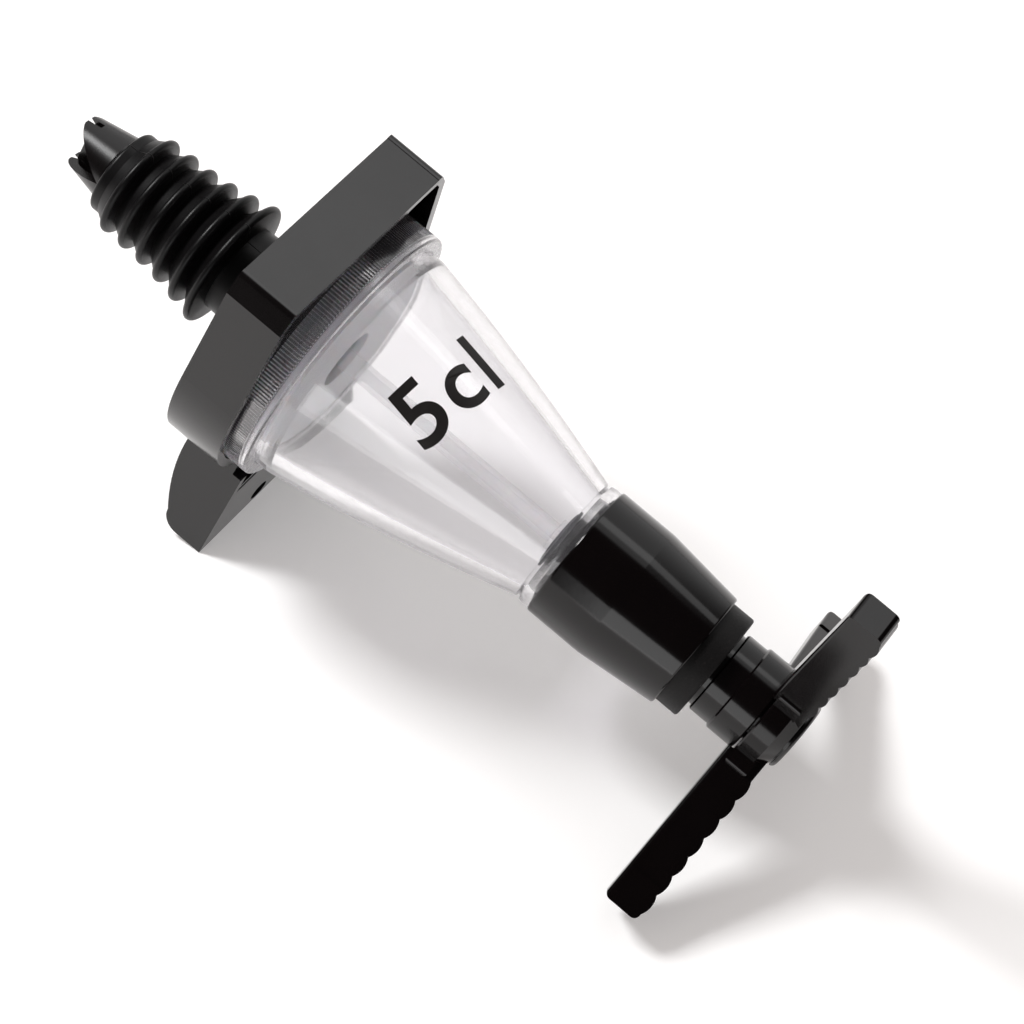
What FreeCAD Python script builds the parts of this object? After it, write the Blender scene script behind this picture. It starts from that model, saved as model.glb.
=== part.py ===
import FreeCAD, Part
import math
import os

# Spirit measure that hangs under an upturned bottle, in millimetres.
# The spindle axis is Z, with the bottle bung up and the nozzle down.
# The marked front faces -Y and the wall bracket faces +Y.
# The origin is on the axis, in the top face of the collar, where the bottle mouth seats.

os.makedirs("parts", exist_ok=True)

# Clearances, and how far a cutting shape or a joined wall runs past its face
press_gap = 0.02
running_gap = 0.06
thread_gap = 0.1
seal_gap = 0.3
body_gap = 0.3
overrun = 1.0
embed = 0.5

# Radii that the chamber's top gives to the disc, the ring nut and the collar around it
chamber_top_radius = 25.6
chamber_top_wall = 3.5
chamber_flange_overhang = 1.48
ring_wall = 1.2
collar_wall = 1.8
disc_radius = chamber_top_radius - chamber_top_wall - 0.2
flange_radius = chamber_top_radius + chamber_flange_overhang
skirt_radius = flange_radius + press_gap
ring_bore = skirt_radius + thread_gap
ring_lip_bore = chamber_top_radius + 0.2
knurl_radius = ring_bore + ring_wall
collar_radius = knurl_radius + body_gap + collar_wall

# Collar housing: a round shell with a front block and a flared rear bracket
collar_height = 12.3
collar_top_wall = 2.0
front_reach = 33.8
front_half_width = 22.0
front_corner_round = 1.2
crease_half_width = 24.4
crease_reach = 29.8
plate_half_width = 20.8
plate_thickness = 0.9
plate_sink = 0.12
corner_rib_thickness = 1.0
corner_rib_rise = 2.0
skirt_wall = 1.9
skirt_length = 9.4

# Rear bracket of the collar
rear_root_half_width = 17.6
rear_half_width = 23.0
rear_reach = 54.3
rear_foot_drop = 2.1
rear_top_drop = 1.0
rear_floor_start = 36.0
rear_floor_thickness = 1.6
rear_crest_drop = 2.2
rear_crest_back = 10.8
rear_slope_drop = 4.4
rear_slope_back = 4.0
rear_nose_height = 6.2
rear_round_out = 0.75
rear_round_down = 0.32
rear_rib_thickness = 1.8
slit_width = 1.3
slit_rib_thickness = 0.8
peg_hole_radius = 2.35
peg_hole_side = 4.9
peg_hole_back = 3.0
relief_radius = 1.3
relief_depth = 2.4

# Inlet stem, whose split mouth pierces the bottle
stem_radius = 5.9
stem_bore = 4.7
stem_flange_radius = 12.0
stem_flange_thickness = 2.0
head_base_radius = 7.0
head_tip_radius = 5.2
head_wall = 1.1
head_height = 9.8
head_rim = 0.6
head_cone_start = 1.0
mouth_turn = 14.0
mouth_cut_start = 0.4
mouth_tip_half_width = 1.5
tip_slot_width = 1.2
tip_slot_depth = 3.0
mouth_web_thickness = 0.8
mouth_web_drop = 1.1
mouth_web_embed = 0.3

# Bottle bung with its rounded fins
bung_height = 38.7
bung_lead_radius = 8.9
bung_lead_height = 3.8
bung_lead_round = 0.7
bung_core_top_radius = 8.5
bung_core_base_radius = 9.5
bung_foot_radius = 13.2
bung_foot_height = 2.4
bung_foot_bevel = 0.6
bung_foot_round = 0.8
first_fin_height = 10.8
fin_pitch = 4.6
fin_radii = [13.6, 12.6, 11.8, 11.3, 11.1, 10.9]
fin_nose = 0.8
fin_upper_run = 2.5
fin_lower_run = 0.5

# Inlet disc, a translucent cup that closes the top of the chamber
disc_thickness = 1.5
disc_wall = 1.4
disc_depth = 6.0
disc_flange_thickness = 1.0
disc_hole_radius = 6.3
inlet_neck_bore = 7.2
inlet_neck_wall = 2.0
stem_gasket_thickness = 1.2
chamber_gasket_thickness = 1.0

# Knurled ring nut
knurl_depth = 0.35
knurl_count = 240
ring_lip_thickness = 1.6
ring_top_gap = 1.0
ring_edge_round = 0.5

# Clear measuring chamber
chamber_middle_radius = 19.9
chamber_low_radius = 14.9
chamber_foot_radius = 13.4
chamber_flange_thickness = 2.2
chamber_neck_length = 4.3
chamber_upper_length = 26.5
chamber_lower_length = 18.8
chamber_foot_length = 5.2
chamber_middle_wall = 3.1
chamber_low_wall = 2.6
foot_groove_height = 0.8
foot_groove_depth = 0.5
foot_bead_height = 2.3
foot_bead_radius = 13.55
foot_bead_swell = 0.15
neck_bevel = 0.4
tail_radius = 11.6
tail_bore = 10.5
tail_length = 3.5

# Outlet seat under the chamber
seat_wall = 1.2
seat_hole_radius = 4.6
seat_flange_thickness = 1.1
seat_plate_thickness = 1.5
seat_plate_rise = 6.5
seat_lip_height = 0.9
seat_lip_width = 0.9
tail_gasket_thickness = 0.9

# Lower sleeve and its end ring
sleeve_length = 29.0
sleeve_radius = 14.1
sleeve_straight = 12.4
sleeve_end_radius = 12.4
sleeve_edge_round = 0.5
sleeve_bore = 10.5
sleeve_ledge_thickness = 2.0
sleeve_ledge_bore = 7.4
end_ring_radius = 11.4
end_ring_length = 4.9
end_ring_edge = 0.3
end_ring_spigot_length = 5.8

# Plunger that the arms push up
press_travel = 5.0
plunger_gap = 0.8
guide_ring_radius = 8.8
stop_ring_radius = 9.35
stop_ring_length = 6.3
plunger_ring_bevel = 0.35
stem_neck_radius = 8.0
plunger_bore = 5.6
plunger_flange_thickness = 2.5
plunger_top_wall = 1.4
plunger_top_height = 4.0
spider_height = 3.0
spider_hub_wall = 1.2
spoke_count = 3
spoke_width = 1.6
spigot_radius = 6.8

# Return spring and its washer
spring_wire = 0.9
spring_mean_radius = 8.4
spring_turns = 5
washer_thickness = 0.6

# Spindle with its two seals
spindle_radius = 2.1
spindle_bore = 1.1
spindle_tail = 11.0
spindle_shoulder_radius = 3.4
spindle_shoulder_height = 1.2
inlet_seal_radius = 5.7
inlet_seal_thickness = 1.8
outlet_seal_radius = 6.4
outlet_seal_thickness = 2.2
clip_radius = 3.3
clip_thickness = 0.6
clip_mouth = 2.6
guide_fin_thickness = 1.2
guide_fin_height = 10.2
vent_port_radius = 0.9
vent_port_drop = 4.0
vent_cap_wall = 1.0
vent_cap_height = 4.0
vent_bill_length = 4.5
vent_bill_thickness = 0.8
vent_cap_floor = 0.8
vent_slit_share = 0.7
vent_slit_width = 0.2

# Three-armed actuator and the nozzle tip that keeps it on
arm_count = 3
arm_reach = 45.0
arm_width = 5.8
arm_height = 8.1
arm_corner = 1.3
arm_edge = 0.6
arm_top_rise = 1.1
arm_end_length = 7.5
arm_end_proud = 0.35
lobe_pitch = 4.5
lobe_height = 0.6
lobe_inset = 0.3
hub_radius = 9.6
hub_height = 6.7
hub_edge = 2.3
arm_root_width = 7.2
arm_root_reach = 12.2
arm_root_drop = 5.0
arm_root_round = 1.0
hub_top_bevel = 0.4
nozzle_height = 0.9
nozzle_flange_radius = 7.3
nozzle_lip_radius = 6.3
nozzle_bore = 4.6
nozzle_spigot_length = 5.0
nozzle_bevel = 0.4
nozzle_bulge_out = 0.75
nozzle_bulge_up = 0.3

V = FreeCAD.Vector
ORIGIN = V(0, 0, 0)
AXIS = V(0, 0, 1)

# Heights, worked down and up from the top face of the collar
collar_bottom = -collar_height
rear_bottom = collar_bottom - rear_foot_drop
top_wall_under = -collar_top_wall
stem_flange_under = top_wall_under - stem_flange_thickness
skirt_end = top_wall_under - skirt_length
disc_flange_under = skirt_end - disc_flange_thickness
disc_under = skirt_end - disc_depth
disc_top = disc_under + disc_thickness
gasket_under = disc_flange_under - chamber_gasket_thickness
chamber_flange_under = gasket_under - chamber_flange_thickness
ring_bottom = chamber_flange_under - ring_lip_thickness
ring_top = top_wall_under - ring_top_gap
neck_end = chamber_flange_under - chamber_neck_length
chamber_middle = neck_end - chamber_upper_length
chamber_low = chamber_middle - chamber_lower_length
chamber_foot = chamber_low - chamber_foot_length
bead_top = chamber_foot - foot_groove_height
sleeve_top = bead_top - foot_bead_height
tail_end = sleeve_top - tail_length
ledge_top = tail_end - tail_gasket_thickness - seat_flange_thickness
ledge_under = ledge_top - sleeve_ledge_thickness
seat_plate_top = ledge_top + seat_plate_rise
seat_lip_top = seat_plate_top + seat_lip_height
sleeve_bottom = sleeve_top - sleeve_length
end_ring_top = sleeve_bottom + end_ring_spigot_length
end_ring_bottom = sleeve_bottom - end_ring_length
plunger_flange_under = end_ring_top + seal_gap
plunger_flange_top = plunger_flange_under + plunger_flange_thickness
plunger_top = plunger_flange_top + plunger_top_height
guide_ring_top = end_ring_bottom - plunger_gap
stop_ring_top = end_ring_bottom - press_travel - seal_gap
stop_ring_bottom = stop_ring_top - stop_ring_length
hub_top = stop_ring_bottom - body_gap
hub_bottom = hub_top - hub_height
arm_top = hub_top + arm_top_rise
arm_bottom = arm_top - arm_height
nozzle_top = hub_bottom - body_gap
nozzle_bottom = nozzle_top - nozzle_height
spring_low = plunger_flange_top + washer_thickness
spring_high = ledge_under
inlet_seal_top = stem_flange_under - press_travel - seal_gap
inlet_seal_under = inlet_seal_top - inlet_seal_thickness
outlet_seal_under = seat_lip_top + seal_gap
outlet_seal_top = outlet_seal_under + outlet_seal_thickness
spindle_bottom = plunger_top - spider_height - spindle_tail

# Radii that follow from the sizes above
collar_bore = collar_radius - collar_wall
stem_hole = stem_radius + press_gap
guide_bore = guide_ring_radius + running_gap
plunger_flange_radius = sleeve_bore - running_gap


def save(shape, name):
    """Write one node."""
    shape.exportStep("parts/" + name + ".step")
    solids = len(shape.Solids)
    print("%-20s solids %d  volume %9.1f  valid %s" % (name, solids, shape.Volume, shape.isValid()))


def outline_face(points):
    """Face in the XZ plane from (r, z) points. A point (mr, mz, r, z) is reached by an arc."""
    edges = []
    here = points[0]
    for step in points[1:] + [points[0]]:
        there = step[-2:]
        start = V(here[0], 0, here[1])
        end = V(there[0], 0, there[1])
        if len(step) == 4:
            edges.append(Part.Arc(start, V(step[0], 0, step[1]), end).toShape())
        elif (end - start).Length > 1e-7:
            edges.append(Part.LineSegment(start, end).toShape())
        here = there
    return Part.Face(Part.Wire(edges))


def turned(points):
    """Solid of revolution about Z."""
    return outline_face(points).revolve(ORIGIN, AXIS, 360)


def round_corner(corner, before, after, radius):
    """Two outline steps that round a corner between the points before and after."""
    at = V(corner[0], corner[1], 0)
    to_before = (V(before[0], before[1], 0) - at).normalize()
    to_after = (V(after[0], after[1], 0) - at).normalize()
    half = to_before.getAngle(to_after) / 2
    start = at + to_before * (radius / math.tan(half))
    end = at + to_after * (radius / math.tan(half))
    middle = at + (to_before + to_after).normalize() * (radius / math.sin(half) - radius)
    return [(start.x, start.y), (middle.x, middle.y, end.x, end.y)]


def tube(inner, outer, low, high):
    """Plain ring or washer."""
    return turned([(inner, low), (outer, low), (outer, high), (inner, high)])


def rod(radius, low, high, x=0.0, y=0.0):
    """Upright cylinder."""
    return Part.makeCylinder(radius, high - low, V(x, y, low), AXIS)


def plan_prism(points, low, high):
    """Upright prism from plan (x, y) points."""
    corners = [V(x, y, low) for x, y in points]
    face = Part.Face(Part.makePolygon(corners + [corners[0]]))
    return face.extrude(V(0, 0, high - low))


def box(low, high):
    """Box between two opposite corners."""
    size = [high[i] - low[i] for i in range(3)]
    return Part.makeBox(size[0], size[1], size[2], V(low[0], low[1], low[2]))


def turn(shape, degrees):
    """Copy turned about the axis."""
    copy = shape.copy()
    copy.rotate(ORIGIN, AXIS, degrees)
    return copy


def tangent_point(x, y, radius):
    """Where a line from (x, y) touches a circle about the axis, on the side of larger y."""
    distance = math.hypot(x, y)
    base = math.atan2(y, x)
    swing = math.acos(radius / distance)
    angle = base + swing if x > 0 else base - swing
    return (radius * math.cos(angle), radius * math.sin(angle))


def front_plan(inset):
    """Plan of the front block, drawn in by a wall thickness."""
    radius = collar_radius - inset
    lean = math.atan2(crease_half_width - front_half_width, front_reach - crease_reach)
    front_y = -front_reach + inset
    corner_x = front_half_width - inset * math.tan((math.pi / 2 - lean) / 2)
    crease_x = crease_half_width - inset
    right = tangent_point(crease_x, -crease_reach, radius)
    left = tangent_point(-crease_x, -crease_reach, radius)
    return [(-corner_x, front_y), (corner_x, front_y), (crease_x, -crease_reach), right,
            (0, radius / 2), left, (-crease_x, -crease_reach)]


def rear_plan(inset, back):
    """Plan of the flared rear bracket, drawn in by a wall thickness and run back to y = back."""
    slope = (rear_half_width - rear_root_half_width) / (rear_reach - collar_radius)
    start = collar_radius / 2
    root = rear_root_half_width - inset + slope * (start - collar_radius)
    end = rear_half_width - inset + slope * (back - rear_reach)
    return [(-root, start), (root, start), (end, back), (-end, back)]


def rear_side(inset, low, back):
    """Side view of the rear bracket: its top curves down and then rounds to the back."""
    top = -inset - rear_top_drop
    nose_low = rear_bottom + rear_nose_height - inset
    slope_y = rear_reach - rear_slope_back
    slope_z = -inset - rear_slope_drop
    nose_y = rear_reach - inset
    middle_y = slope_y + rear_round_out * (nose_y - slope_y)
    middle_z = slope_z - rear_round_down * (slope_z - nose_low)
    points = [(0, low), (back, low)]
    if inset > 0:
        points += [(back, nose_low)]
    points += [(nose_y, nose_low), (middle_y, middle_z, slope_y, slope_z)]
    points += [(rear_reach - rear_crest_back, -inset - rear_crest_drop, collar_radius, top), (0, top)]
    face = outline_face(points)
    face.rotate(ORIGIN, AXIS, 90)
    face.translate(V(-2 * rear_half_width, 0, 0))
    return face.extrude(V(4 * rear_half_width, 0, 0))


def collar_outer():
    """Outer form of the collar."""
    body = rod(collar_radius, collar_bottom, 0)
    front = plan_prism(front_plan(0), collar_bottom, 0)
    corners = [e for e in front.Edges if e.Length > collar_height - 0.01 and e.Length < collar_height + 0.01
               and abs(abs(e.CenterOfMass.x) - front_half_width) < 0.01 and e.CenterOfMass.y < -crease_reach]
    front = front.makeFillet(front_corner_round, corners)
    rear = plan_prism(rear_plan(0, rear_reach), rear_bottom, 0)
    rear = rear.common(rear_side(0, rear_bottom, rear_reach))
    step = box((-collar_radius, 0, rear_bottom - overrun), (collar_radius, collar_radius, collar_bottom))
    return body.fuse([front, rear.cut(step)]).removeSplitter()


def make_collar():
    """Collar housing with its skirt, ribs and rear bracket."""
    outer = collar_outer()
    far = rear_reach + overrun
    under = rear_bottom - overrun
    hollow = rod(collar_bore, under, top_wall_under)
    hollow = hollow.fuse(plan_prism(front_plan(collar_wall), under, top_wall_under))
    rear = plan_prism(rear_plan(collar_wall, far), under, top_wall_under)
    rear = rear.common(rear_side(collar_wall, under, far))
    floor_keep = box((-2 * rear_half_width, rear_floor_start, under),
                     (2 * rear_half_width, far, rear_bottom + rear_floor_thickness))
    hollow = hollow.fuse(rear.cut(floor_keep))
    shell = outer.cut(hollow)

    # Recess for the front plate, between the two end strips
    recess = box((-plate_half_width, -front_reach - overrun, under),
                 (plate_half_width, -front_reach + plate_thickness + plate_sink, overrun))
    shell = shell.cut(recess)

    # Inner skirt that carries the ring nut's thread
    skirt = tube(skirt_radius - skirt_wall, skirt_radius, skirt_end, top_wall_under + embed)
    shell = shell.fuse(skirt)

    # Ribs: one in each front corner, one along the bracket, one beside the slit
    rib_low = collar_bottom + corner_rib_rise
    rib_in = knurl_radius + body_gap
    ribs = []
    for side in (-1, 1):
        angle = math.degrees(math.atan2(-crease_reach, side * crease_half_width))
        reach = math.hypot(crease_half_width, crease_reach) - collar_wall / 2
        rib = box((rib_in, -corner_rib_thickness / 2, rib_low),
                  (reach, corner_rib_thickness / 2, top_wall_under + embed))
        ribs.append(turn(rib, angle))
    slit_rib_back = rear_floor_start - slit_width
    slit_rib = box((-rear_half_width, slit_rib_back - slit_rib_thickness, rear_bottom),
                   (rear_half_width, slit_rib_back, 0))
    slit_rib = slit_rib.common(plan_prism(rear_plan(collar_wall / 2, rear_reach), rear_bottom, 0))
    ribs.append(slit_rib.common(outer))
    middle_rib = box((-rear_rib_thickness / 2, slit_rib_back - slit_rib_thickness / 2, rear_bottom),
                     (rear_rib_thickness / 2, rear_reach, 0))
    ribs.append(middle_rib.common(outer))
    shell = shell.fuse(ribs)

    # Stem hole, the two peg holes through the bracket and the relief where it meets the round wall
    cuts = [rod(stem_hole, top_wall_under - overrun, overrun)]
    peg_y = rear_reach - peg_hole_back
    relief_y = math.sqrt(collar_bore ** 2 - rear_root_half_width ** 2)
    for side in (-1, 1):
        cuts.append(rod(peg_hole_radius, under, 0, side * peg_hole_side, peg_y))
        relief_x = side * rear_root_half_width
        cuts.append(rod(relief_radius, under, collar_bottom + relief_depth, relief_x, relief_y))
    shell = shell.cut(cuts)
    return shell.removeSplitter()


def make_front_plate():
    """Blank plate in the front of the collar."""
    front_y = -front_reach + plate_sink
    return box((-plate_half_width + press_gap, front_y, collar_bottom),
               (plate_half_width - press_gap, front_y + plate_thickness, 0))


def make_stem():
    """Black inlet stem with a split, hollow mouth and a flat web between its two prongs."""
    head_base = bung_height
    head_top = head_base + head_height
    tip_bore = head_tip_radius - head_wall
    body = turned([
        (stem_bore, stem_flange_under), (stem_flange_radius, stem_flange_under),
        (stem_flange_radius, top_wall_under), (stem_radius, top_wall_under),
        (stem_radius, head_base), (head_base_radius, head_base),
        (head_base_radius, head_base + head_rim), (head_tip_radius, head_top),
        (tip_bore, head_top), (stem_bore, head_base + head_cone_start)])
    reach = 2 * head_base_radius
    tip_y = math.sqrt(head_tip_radius ** 2 - mouth_tip_half_width ** 2)
    low = head_base + mouth_cut_start
    rise = head_top - low
    top = low + rise + overrun
    half = tip_y * (rise + overrun) / rise
    wedge_points = [V(-reach, 0, low), V(-reach, half, top), V(-reach, -half, top)]
    wedge = Part.Face(Part.makePolygon(wedge_points + [wedge_points[0]])).extrude(V(2 * reach, 0, 0))
    slot = box((-tip_slot_width / 2, -reach, head_top - tip_slot_depth),
               (tip_slot_width / 2, reach, head_top + overrun))
    web_low = head_base + head_cone_start
    web_high = head_top - mouth_web_drop
    web = box((-mouth_web_thickness / 2, -reach, web_low), (mouth_web_thickness / 2, reach, web_high))
    low_bore = stem_bore + mouth_web_embed
    high_bore = tip_bore + mouth_web_embed
    core = turned([(0, web_low), (low_bore, web_low), (high_bore, head_top), (0, head_top)])
    body = body.cut([wedge, slot]).fuse(web.common(core))
    return turn(body.removeSplitter(), mouth_turn)


def make_bung():
    """Rubber bung: one turned solid with a row of rounded, barbed fins."""
    def core(height):
        share = height / bung_height
        return bung_core_base_radius + share * (bung_core_top_radius - bung_core_base_radius)

    points = [(stem_radius + press_gap, 0), (bung_foot_radius - bung_foot_bevel, 0)]
    points += [(bung_foot_radius, bung_foot_bevel)]
    points += round_corner((bung_foot_radius, bung_foot_height), (bung_foot_radius, 0), (0, bung_foot_height),
                           bung_foot_round)
    points += [(core(bung_foot_height), bung_foot_height)]
    for number, radius in enumerate(fin_radii):
        height = first_fin_height + number * fin_pitch
        nose_x = radius - fin_nose
        lower = height - fin_nose - fin_lower_run
        upper = height + fin_nose + fin_upper_run
        points += [(core(lower), lower), (nose_x, height - fin_nose)]
        points += [(radius, height, nose_x, height + fin_nose), (core(upper), upper)]
    lead_low = bung_height - bung_lead_height
    points += [(bung_lead_radius, lead_low)]
    points += round_corner((bung_lead_radius, bung_height), (bung_lead_radius, lead_low), (0, bung_height),
                           bung_lead_round)
    points += [(stem_radius + press_gap, bung_height)]
    return turned(points)


def make_stem_gasket():
    """Washer between the stem flange and the disc's neck."""
    return tube(inlet_neck_bore, inlet_neck_bore + inlet_neck_wall, stem_flange_under - stem_gasket_thickness,
                stem_flange_under)


def make_disc():
    """Translucent cup with the inlet hole and the neck up to the stem."""
    neck_outer = inlet_neck_bore + inlet_neck_wall
    neck_top = stem_flange_under - stem_gasket_thickness
    rim_bore = disc_radius - disc_wall
    return turned([
        (disc_hole_radius, disc_under), (disc_radius, disc_under), (disc_radius, disc_flange_under),
        (flange_radius, disc_flange_under), (flange_radius, skirt_end), (rim_bore, skirt_end),
        (rim_bore, disc_top), (neck_outer, disc_top), (neck_outer, neck_top), (inlet_neck_bore, neck_top),
        (inlet_neck_bore, disc_top), (disc_hole_radius, disc_top)])


def make_chamber_gasket():
    """Flat gasket between the disc's flange and the chamber."""
    return tube(disc_radius + press_gap, flange_radius, gasket_under, disc_flange_under)


def make_ring_nut():
    """Clear ring nut: a knurled wall made of straight V ridges, and a lip under the chamber's flange."""
    points = []
    for number in range(2 * knurl_count):
        angle = math.pi * number / knurl_count
        radius = knurl_radius - knurl_depth * (number % 2)
        points.append((radius * math.cos(angle), radius * math.sin(angle)))
    knurl = plan_prism(points, chamber_flange_under, ring_top)
    lip_top = chamber_flange_under + press_gap
    points = [(0, ring_bottom)]
    points += round_corner((knurl_radius, ring_bottom), (0, ring_bottom), (knurl_radius, lip_top),
                           ring_edge_round)
    points += [(knurl_radius, lip_top), (0, lip_top)]
    lip = turned(points)
    ring = knurl.fuse(lip)
    return ring.cut([rod(ring_bore, chamber_flange_under, ring_top + overrun),
                     rod(ring_lip_bore, ring_bottom - overrun, chamber_flange_under + overrun)])


def make_chamber():
    """Clear measuring chamber: flange, neck, curved cone, foot bead and the tail in the sleeve."""
    top_bore = disc_radius + press_gap
    bore_low = chamber_low_radius - chamber_low_wall
    floor_height = seat_plate_top - seat_plate_thickness
    return turned([
        (tail_bore, tail_end), (tail_radius, tail_end), (tail_radius, sleeve_top),
        (foot_bead_radius, sleeve_top),
        (foot_bead_radius + foot_bead_swell, (sleeve_top + bead_top) / 2, foot_bead_radius, bead_top),
        (chamber_foot_radius - foot_groove_depth, bead_top),
        (chamber_foot_radius - foot_groove_depth, chamber_foot), (chamber_foot_radius, chamber_foot),
        (chamber_low_radius, chamber_low),
        (chamber_middle_radius, chamber_middle, chamber_top_radius, neck_end),
        (chamber_top_radius, chamber_flange_under), (flange_radius, chamber_flange_under),
        (flange_radius, gasket_under), (top_bore, gasket_under), (top_bore, disc_under - neck_bevel),
        (chamber_top_radius - chamber_top_wall, neck_end),
        (chamber_middle_radius - chamber_middle_wall, chamber_middle, bore_low, chamber_low),
        (tail_bore, floor_height)])


def make_tail_gasket():
    """Flat gasket under the chamber's tail."""
    return tube(tail_bore, tail_radius, ledge_top + seat_flange_thickness, tail_end)


def make_outlet_seat():
    """Black inverted cup with the outlet hole and a raised lip for the seal."""
    wall_outer = tail_bore - press_gap
    flange_top = ledge_top + seat_flange_thickness
    plate_under = seat_plate_top - seat_plate_thickness
    lip_outer = seat_hole_radius + seat_lip_width
    return turned([
        (wall_outer - seat_wall, ledge_top), (tail_radius, ledge_top), (tail_radius, flange_top),
        (wall_outer, flange_top), (wall_outer, seat_plate_top), (lip_outer, seat_plate_top),
        (lip_outer, seat_lip_top), (seat_hole_radius, seat_lip_top), (seat_hole_radius, plate_under),
        (wall_outer - seat_wall, plate_under)])


def make_sleeve():
    """Gloss black lower sleeve."""
    taper_start = sleeve_top - sleeve_straight
    socket = tail_radius + thread_gap
    points = [(sleeve_ledge_bore, ledge_under), (sleeve_ledge_bore, ledge_top), (socket, ledge_top),
              (socket, sleeve_top)]
    points += round_corner((sleeve_radius, sleeve_top), (0, sleeve_top), (sleeve_radius, taper_start),
                           sleeve_edge_round)
    points += [(sleeve_radius, taper_start)]
    points += round_corner((sleeve_end_radius, sleeve_bottom), (sleeve_radius, taper_start),
                           (0, sleeve_bottom), sleeve_edge_round)
    points += [(sleeve_bore, sleeve_bottom), (sleeve_bore, ledge_under)]
    return turned(points)


def make_end_ring():
    """Matte black ring that closes the sleeve and guides the plunger."""
    return turned([
        (guide_bore, end_ring_bottom), (end_ring_radius - end_ring_edge, end_ring_bottom),
        (end_ring_radius, end_ring_bottom + end_ring_edge), (end_ring_radius, sleeve_bottom),
        (sleeve_bore - press_gap, sleeve_bottom), (sleeve_bore - press_gap, end_ring_top),
        (guide_bore, end_ring_top)])


def helix_point(turn_number, low, pitch, radius):
    """Point and direction on the spring's centre line."""
    angle = 2 * math.pi * turn_number
    point = V(radius * math.cos(angle), radius * math.sin(angle), low + pitch * turn_number)
    along = V(-radius * math.sin(angle), radius * math.cos(angle), pitch / (2 * math.pi)).normalize()
    return point, along


def arc_between(start, control, end):
    """Circular arc from start to end whose end tangents meet at control."""
    middle = (start + end) * 0.5
    half = (control - start).getAngle(end - start)
    share = math.cos(half) / (1 + math.cos(half))
    return Part.Arc(start, middle + (control - middle) * share, end).toShape()


def make_spring():
    """Return spring: one round wire wound in an open helix of quarter-turn biarcs."""
    low = spring_low + spring_wire / 2 + press_gap
    high = spring_high - spring_wire / 2 - press_gap
    pitch = (high - low) / spring_turns
    edges = []
    for quarter in range(4 * spring_turns):
        start, leave = helix_point(quarter / 4, low, pitch, spring_mean_radius)
        end, arrive = helix_point((quarter + 1) / 4, low, pitch, spring_mean_radius)
        gap = end - start
        both = leave + arrive
        bend = 2 * (1 - leave.dot(arrive))
        reach = (-gap.dot(both) + math.sqrt(gap.dot(both) ** 2 + bend * gap.dot(gap))) / bend
        first = start + leave * reach
        second = end - arrive * reach
        joint = (first + second) * 0.5
        edges.append(arc_between(start, first, joint))
        edges.append(arc_between(joint, second, end))
    path = Part.Wire(edges)
    start, leave = helix_point(0, low, pitch, spring_mean_radius)
    section = Part.Wire(Part.Circle(start, leave, spring_wire / 2).toShape())
    print("spring pitch %.2f, least gap between turns at full press %.2f"
          % (pitch, pitch - press_travel / spring_turns - spring_wire))
    return path.makePipeShell([section], True, False)


def make_washer():
    """Steel washer between the spring and the plunger."""
    return tube(plunger_bore + plunger_top_wall + press_gap, plunger_flange_radius - running_gap,
                plunger_flange_top, spring_low)


def make_plunger():
    """Hollow black plunger with its flange, guide ring, stop ring, spigot and spider."""
    top_outer = plunger_bore + plunger_top_wall
    bevel = plunger_ring_bevel
    guide_outer = guide_ring_radius - bevel
    stop_outer = stop_ring_radius - bevel
    body = turned([
        (plunger_bore, hub_bottom - body_gap), (spigot_radius, hub_bottom - body_gap),
        (spigot_radius, stop_ring_bottom), (stop_outer, stop_ring_bottom),
        (stop_ring_radius, stop_ring_bottom + bevel), (stop_ring_radius, stop_ring_top - bevel),
        (stop_outer, stop_ring_top), (guide_ring_radius, stop_ring_top),
        (guide_ring_radius, guide_ring_top - bevel), (guide_outer, guide_ring_top),
        (stem_neck_radius, guide_ring_top), (stem_neck_radius, plunger_flange_under),
        (plunger_flange_radius, plunger_flange_under), (plunger_flange_radius, plunger_flange_top),
        (top_outer, plunger_flange_top), (top_outer, plunger_top), (plunger_bore, plunger_top)])
    spider_low = plunger_top - spider_height
    hub_outer = spindle_radius + spider_hub_wall
    spider = [rod(hub_outer, spider_low, plunger_top)]
    for number in range(spoke_count):
        spoke = box((0, -spoke_width / 2, spider_low),
                    (plunger_bore + plunger_top_wall / 2, spoke_width / 2, plunger_top))
        spider.append(turn(spoke, 90 + number * 360 / spoke_count))
    body = body.fuse(spider)
    hole = rod(spindle_radius + press_gap, spider_low - overrun, plunger_top + overrun)
    return body.cut(hole).removeSplitter()


def make_spindle():
    """White translucent hollow spindle with its two shoulders and the guide fins."""
    head_top = inlet_seal_top + guide_fin_height
    port_height = disc_under - vent_port_drop
    low_shoulder_top = outlet_seal_top + spindle_shoulder_height
    high_shoulder_low = inlet_seal_under - spindle_shoulder_height
    body = turned([
        (spindle_bore, spindle_bottom), (spindle_radius, spindle_bottom),
        (spindle_radius, outlet_seal_top), (spindle_shoulder_radius, outlet_seal_top),
        (spindle_shoulder_radius, low_shoulder_top), (spindle_radius, low_shoulder_top),
        (spindle_radius, high_shoulder_low), (spindle_shoulder_radius, high_shoulder_low),
        (spindle_shoulder_radius, inlet_seal_under), (spindle_radius, inlet_seal_under),
        (spindle_radius, head_top), (0, head_top), (0, port_height), (spindle_bore, port_height)])
    fin_reach = stem_bore - running_gap
    half = guide_fin_thickness / 2
    fins = [box((-fin_reach, -half, inlet_seal_top), (fin_reach, half, head_top)),
            box((-half, -fin_reach, inlet_seal_top), (half, fin_reach, head_top))]
    fins = [fin.common(rod(fin_reach, inlet_seal_top, head_top)) for fin in fins]
    body = body.fuse(fins)
    port_start = V(-2 * spindle_radius, 0, port_height)
    port = Part.makeCylinder(vent_port_radius, 4 * spindle_radius, port_start, V(1, 0, 0))
    return body.cut(port).removeSplitter()


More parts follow.
